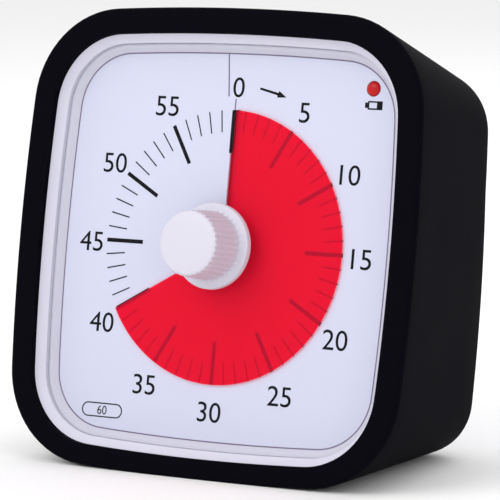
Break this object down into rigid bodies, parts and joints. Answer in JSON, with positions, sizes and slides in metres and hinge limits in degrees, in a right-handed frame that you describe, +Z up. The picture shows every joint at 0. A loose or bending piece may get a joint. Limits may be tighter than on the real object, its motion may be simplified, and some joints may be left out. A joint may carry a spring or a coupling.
{
  "type": "visual countdown timer",
  "caption": "Square desk timer in a soft sleeve: a red film winds away through a slit in its minute dial as the centre knob turns, with its movement, cell and door inside.",
  "frame": {"origin": "centre of the footprint on the surface that the timer stands on", "axes": "+Z up, the dial faces -Y and leans back, +X to the right as seen from the front"},
  "size_m": [0.0862, 0.0568, 0.0876],
  "materials": {
    "sleeve": "satin",
    "white_case": "satin",
    "window": "polished",
    "dial": "matte",
    "film": "satin",
    "knob": "satin",
    "inner_white": "matte",
    "steel": "brushed",
    "brass": "polished",
    "gear_white": "matte",
    "movement_case": "matte",
    "copper": "enamelled",
    "board": "satin",
    "chip_black": "matte",
    "slider_black": "matte",
    "lamp_red": "gloss",
    "cell_skin": "gloss"
  },
  "bodies": {
    "case": {"silicone_sleeve": "sleeve", "front_case": "white_case", "rear_case": "white_case", "clear_lens": "window", "dial_plate": "dial", "spindle_bush": "brass", "wheel_pins": "steel", "movement_front_plate": "movement_case", "movement_back_cover": "movement_case", "movement_screws": "steel", "case_screws": "steel", "stator_plate": "steel", "coil_bobbin": "inner_white", "coil_winding": "copper", "circuit_board": "board", "chip_cover": "chip_black", "quartz_crystal": "steel", "switch_body": "chip_black", "buzzer": "chip_black", "indicator_lamp": "lamp_red", "lamp_board": "board", "battery_cell": "cell_skin", "plate_contact": "steel", "spring_contact": "steel"},
    "dial": {"setting_knob": "knob", "film_hub": "inner_white", "spindle": "steel", "centre_wheel": "brass", "clutch_spring": "steel"},
    "film": {"time_film": "film"},
    "third": {"third_wheel": "gear_white"},
    "second": {"second_wheel": "gear_white"},
    "motor": {"rotor": "gear_white"},
    "slider": {"sound_slider": "slider_black"},
    "door": {"battery_door": "white_case"}
  },
  "joints": [
    {"name": "dial_turn", "type": "hinge", "parent": "case", "child": "dial", "pos_m": [0, -0.01969, 0.04393], "axis": [0, -0.986, 0.1668], "range_deg": [-120, 240]},
    {"name": "film_turn", "type": "hinge", "parent": "case", "child": "film", "pos_m": [0, -0.01969, 0.04393], "axis": [0, -0.986, 0.1668], "range_deg": [-60, 120], "deforming": ["time_film"]},
    {"name": "third_turn", "type": "hinge", "parent": "case", "child": "third", "pos_m": [0.0072, -0.0176, 0.05622], "axis": [0, -0.986, 0.1668], "range_deg": [-1200, 600]},
    {"name": "second_turn", "type": "hinge", "parent": "case", "child": "second", "pos_m": [0.00097, -0.017, 0.05977], "axis": [0, -0.986, 0.1668], "range_deg": [-1800, 3600]},
    {"name": "rotor_turn", "type": "hinge", "parent": "case", "child": "motor", "pos_m": [-0.00553, -0.017, 0.05977], "axis": [0, -0.986, 0.1668], "range_deg": [-19800, 9900]},
    {"name": "sound_slide", "type": "slide", "parent": "case", "child": "slider", "axis": [1, 0, 0], "range_m": [-0.0016, 0.0016]},
    {"name": "door_hinge", "type": "hinge", "parent": "case", "child": "door", "pos_m": [0, 0.01571, 0.01127], "axis": [-1, 0, 0], "range_deg": [0, 75]}
  ],
  "couplings": [
    {"joint": "film_turn", "follows": "dial_turn", "ratio": 0.5},
    {"joint": "third_turn", "follows": "dial_turn", "ratio": -5},
    {"joint": "second_turn", "follows": "dial_turn", "ratio": 15},
    {"joint": "rotor_turn", "follows": "dial_turn", "ratio": -82.5}
  ]
}
